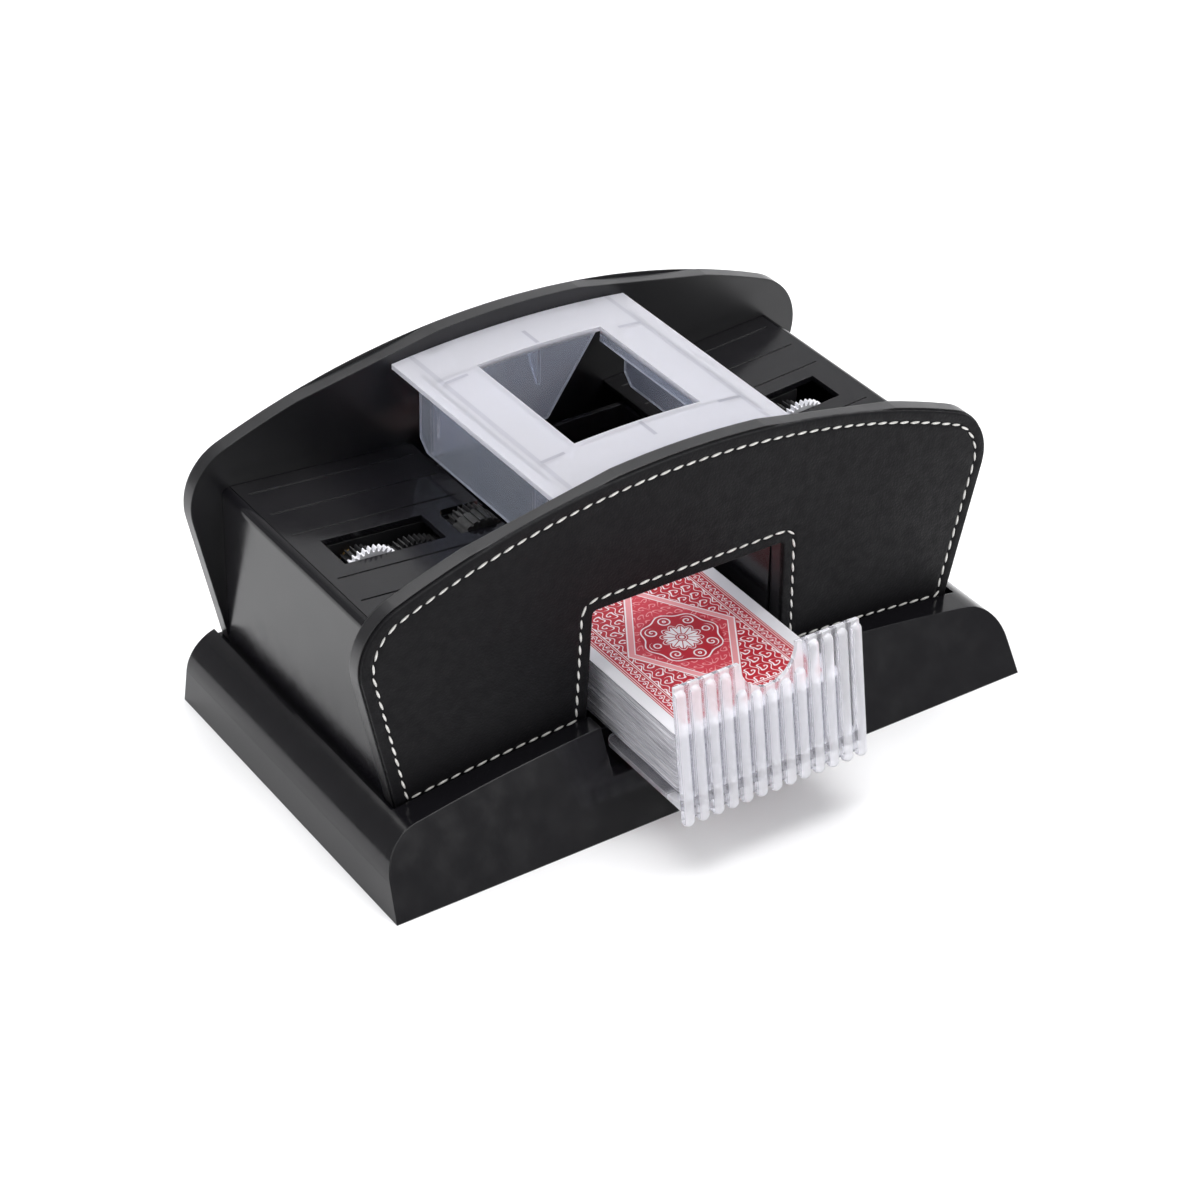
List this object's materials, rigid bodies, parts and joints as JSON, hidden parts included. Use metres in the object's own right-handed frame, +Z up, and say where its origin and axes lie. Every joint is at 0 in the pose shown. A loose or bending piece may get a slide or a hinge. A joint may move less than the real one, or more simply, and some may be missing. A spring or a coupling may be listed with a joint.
{
  "type": "automatic card shuffler",
  "caption": "Automatic playing-card shuffler: arched leather-faced boards on a black base, side hoppers with feed wheels, frosted cover and a ribbed pull-out card tray.",
  "frame": {"origin": "centre of the underside of the base, on the surface it stands on", "axes": "+X along the machine's length, +Y from the tray's side to the back, +Z up"},
  "size_m": [0.2452, 0.1652, 0.1162],
  "materials": {
    "base_gloss": "polished black moulding",
    "satin_black": "fine satin",
    "rubber_feet": "soft, slightly dusty",
    "screws": "zinc plated",
    "cells": "printed sleeve with steel ends",
    "contacts": "nickel plated spring steel",
    "circuit_board": "green board",
    "button": "polished",
    "boards": "satin, polished edge",
    "black_leather": "fine grain, white stitching",
    "frosted_clear": "frosted translucent",
    "cards": "coated card, white edges",
    "gearbox": "moulded black",
    "posts": "turned",
    "bushes": "sintered",
    "motors": "drawn can",
    "white_nylon": "moulded nylon",
    "shafts": "ground",
    "tyre_rubber": "ribbed rubber",
    "black_nylon": "moulded nylon"
  },
  "bodies": {
    "machine": {"base_shell": "base_gloss", "bottom_plate": "satin_black", "base_feet": "rubber_feet", "bottom_screws": "screws", "frame_screws": "screws", "battery_box": "satin_black", "battery_cells": "cells", "battery_contacts": "contacts", "start_switch": "circuit_board", "front_board": "boards", "front_leather": "black_leather", "back_board": "boards", "back_leather": "black_leather", "board_screws": "screws", "left_end_wall": "satin_black", "right_end_wall": "satin_black", "left_hopper_floor": "satin_black", "right_hopper_floor": "satin_black", "bin_walls": "satin_black", "tray_guide": "satin_black", "cover_ledges": "satin_black", "left_gearbox_front": "gearbox", "left_gearbox_rear": "gearbox", "left_gearbox_posts": "posts", "left_bushes": "bushes", "left_motor": "motors", "right_gearbox_front": "gearbox", "right_gearbox_rear": "gearbox", "right_gearbox_posts": "posts", "right_bushes": "bushes", "right_motor": "motors"},
    "left_idler": {"left_idler_shaft": "shafts", "left_idler_gear": "black_nylon"},
    "left_feed_roller": {"left_feed_shaft": "shafts", "left_feed_gear": "black_nylon", "left_feed_tyre": "tyre_rubber"},
    "left_kicker": {"left_kicker_shaft": "shafts", "left_kicker_wheel": "white_nylon", "left_kicker_gear": "black_nylon"},
    "left_motor_shaft": {"left_motor_pinion": "white_nylon"},
    "right_idler": {"right_idler_shaft": "shafts", "right_idler_gear": "black_nylon"},
    "right_feed_roller": {"right_feed_shaft": "shafts", "right_feed_gear": "black_nylon", "right_feed_tyre": "tyre_rubber"},
    "right_kicker": {"right_kicker_shaft": "shafts", "right_kicker_wheel": "white_nylon", "right_kicker_gear": "black_nylon"},
    "right_motor_shaft": {"right_motor_pinion": "white_nylon"},
    "cover": {"cover": "frosted_clear"},
    "tray": {"card_tray": "frosted_clear"},
    "cards": {"card_deck": "cards"},
    "battery_door": {"battery_door": "satin_black"},
    "start_button": {"start_button": "button", "button_spring": "contacts"}
  },
  "joints": [
    {"name": "left_idler_spin", "type": "hinge", "parent": "machine", "child": "left_idler", "pos_m": [-0.06749, 0.012, 0.05527], "axis": [0, 1, 0], "continuous": true},
    {"name": "left_feed_spin", "type": "hinge", "parent": "machine", "child": "left_feed_roller", "pos_m": [-0.0456, 0.012, 0.07002], "axis": [0, 1, 0], "continuous": true},
    {"name": "left_kicker_spin", "type": "hinge", "parent": "machine", "child": "left_kicker", "pos_m": [-0.0862, 0.012, 0.07077], "axis": [0, 1, 0], "continuous": true},
    {"name": "left_motor_spin", "type": "hinge", "parent": "machine", "child": "left_motor_shaft", "pos_m": [-0.07846, 0.012, 0.03494], "axis": [0, 1, 0], "continuous": true},
    {"name": "right_idler_spin", "type": "hinge", "parent": "machine", "child": "right_idler", "pos_m": [0.06506, 0.012, 0.05547], "axis": [0, 1, 0], "continuous": true},
    {"name": "right_feed_spin", "type": "hinge", "parent": "machine", "child": "right_feed_roller", "pos_m": [0.0456, 0.012, 0.07002], "axis": [0, 1, 0], "continuous": true},
    {"name": "right_kicker_spin", "type": "hinge", "parent": "machine", "child": "right_kicker", "pos_m": [0.0815, 0.012, 0.0704], "axis": [0, 1, 0], "continuous": true},
    {"name": "right_motor_spin", "type": "hinge", "parent": "machine", "child": "right_motor_shaft", "pos_m": [0.07504, 0.012, 0.03699], "axis": [0, 1, 0], "continuous": true},
    {"name": "tray_slide", "type": "slide", "parent": "machine", "child": "tray", "axis": [0, 1, 0], "range_m": [0, 0.042]},
    {"name": "cards_lift", "type": "slide", "parent": "tray", "child": "cards", "axis": [0, 0.18, 0.9837], "range_m": [0, 0.02]},
    {"name": "cover_lift", "type": "slide", "parent": "machine", "child": "cover", "axis": [0, 0, 1], "range_m": [0, 0.045]},
    {"name": "battery_door_slide", "type": "slide", "parent": "machine", "child": "battery_door", "axis": [-1, 0, 0], "range_m": [0, 0.0138]},
    {"name": "start_press", "type": "slide", "parent": "machine", "child": "start_button", "axis": [0, -1, 0], "range_m": [0, 0.0018], "stiffness_N_per_m": 300, "springref_m": -0.0005}
  ],
  "couplings": [
    {"joint": "left_feed_spin", "follows": "left_idler_spin", "ratio": -2.2593},
    {"joint": "left_kicker_spin", "follows": "left_idler_spin", "ratio": -3.05},
    {"joint": "left_motor_spin", "follows": "left_idler_spin", "ratio": -3.8125},
    {"joint": "right_feed_spin", "follows": "right_idler_spin", "ratio": -2},
    {"joint": "right_kicker_spin", "follows": "right_idler_spin", "ratio": -2.7},
    {"joint": "right_motor_spin", "follows": "right_idler_spin", "ratio": -3.375}
  ]
}
